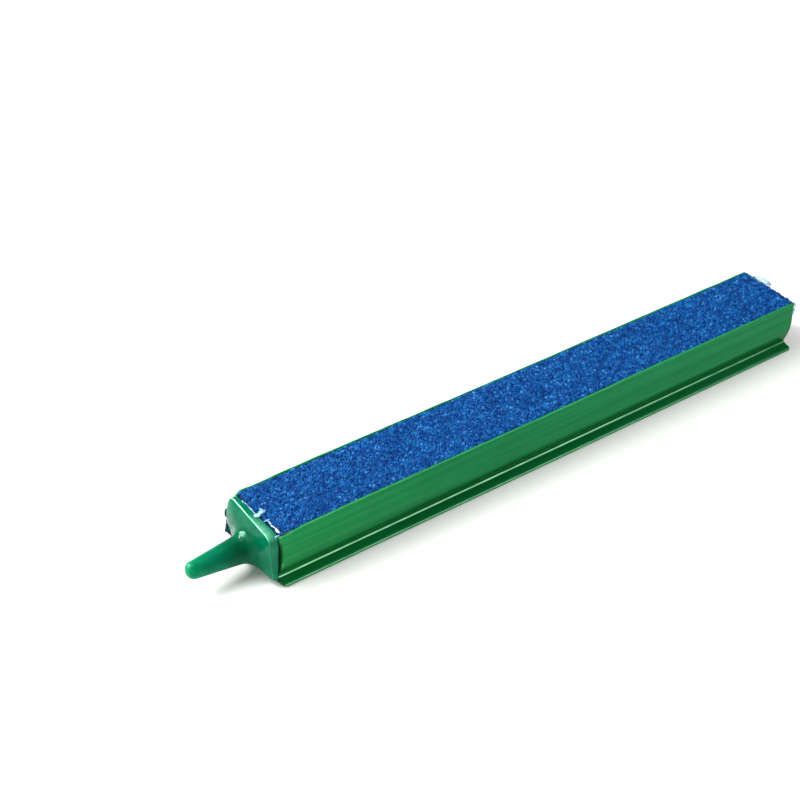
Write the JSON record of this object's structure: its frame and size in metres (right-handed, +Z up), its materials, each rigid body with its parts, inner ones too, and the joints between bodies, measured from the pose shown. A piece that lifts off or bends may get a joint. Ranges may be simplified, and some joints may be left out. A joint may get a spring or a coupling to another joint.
{
  "type": "air stone",
  "caption": "Bar-shaped aquarium air stone: porous blue mineral strip in a green plastic trough with foot rails, end cap and tapered hose nozzle.",
  "frame": {"origin": "middle of the bar's overall length and width, on the plane that its foot rails rest on", "axes": "X along the bar with the nozzle's tip at -X and the plugged end at +X, Y across the bar, Z up"},
  "size_m": [0.15, 0.0174, 0.0122],
  "materials": {
    "trough_plastic": "glossy, slightly see-through green with lengthwise extrusion streaks",
    "porous_stone": "matt blue bonded grit, with pale and dark grains",
    "cap_plastic": "glossy, slightly see-through blue-green moulding",
    "plug_plastic": "glossy dark green",
    "clear_glue": "clear cured glue",
    "stone_glue": "blue-tinted resin, semi-gloss",
    "white_glue": "pale cloudy glue",
    "spilt_stone": "dark blue resin and grit"
  },
  "bodies": {
    "root": {"trough": "trough_plastic", "air_stone": "porous_stone", "inlet_cap": "cap_plastic", "hose_nozzle": "cap_plastic", "cap_glue_film": "clear_glue", "duct_plug": "plug_plastic", "stone_bead_left": "stone_glue", "stone_bead_right": "stone_glue", "stone_bead_inlet": "white_glue", "end_glue_skim": "clear_glue", "spilt_mix": "spilt_stone"}
  },
  "joints": []
}
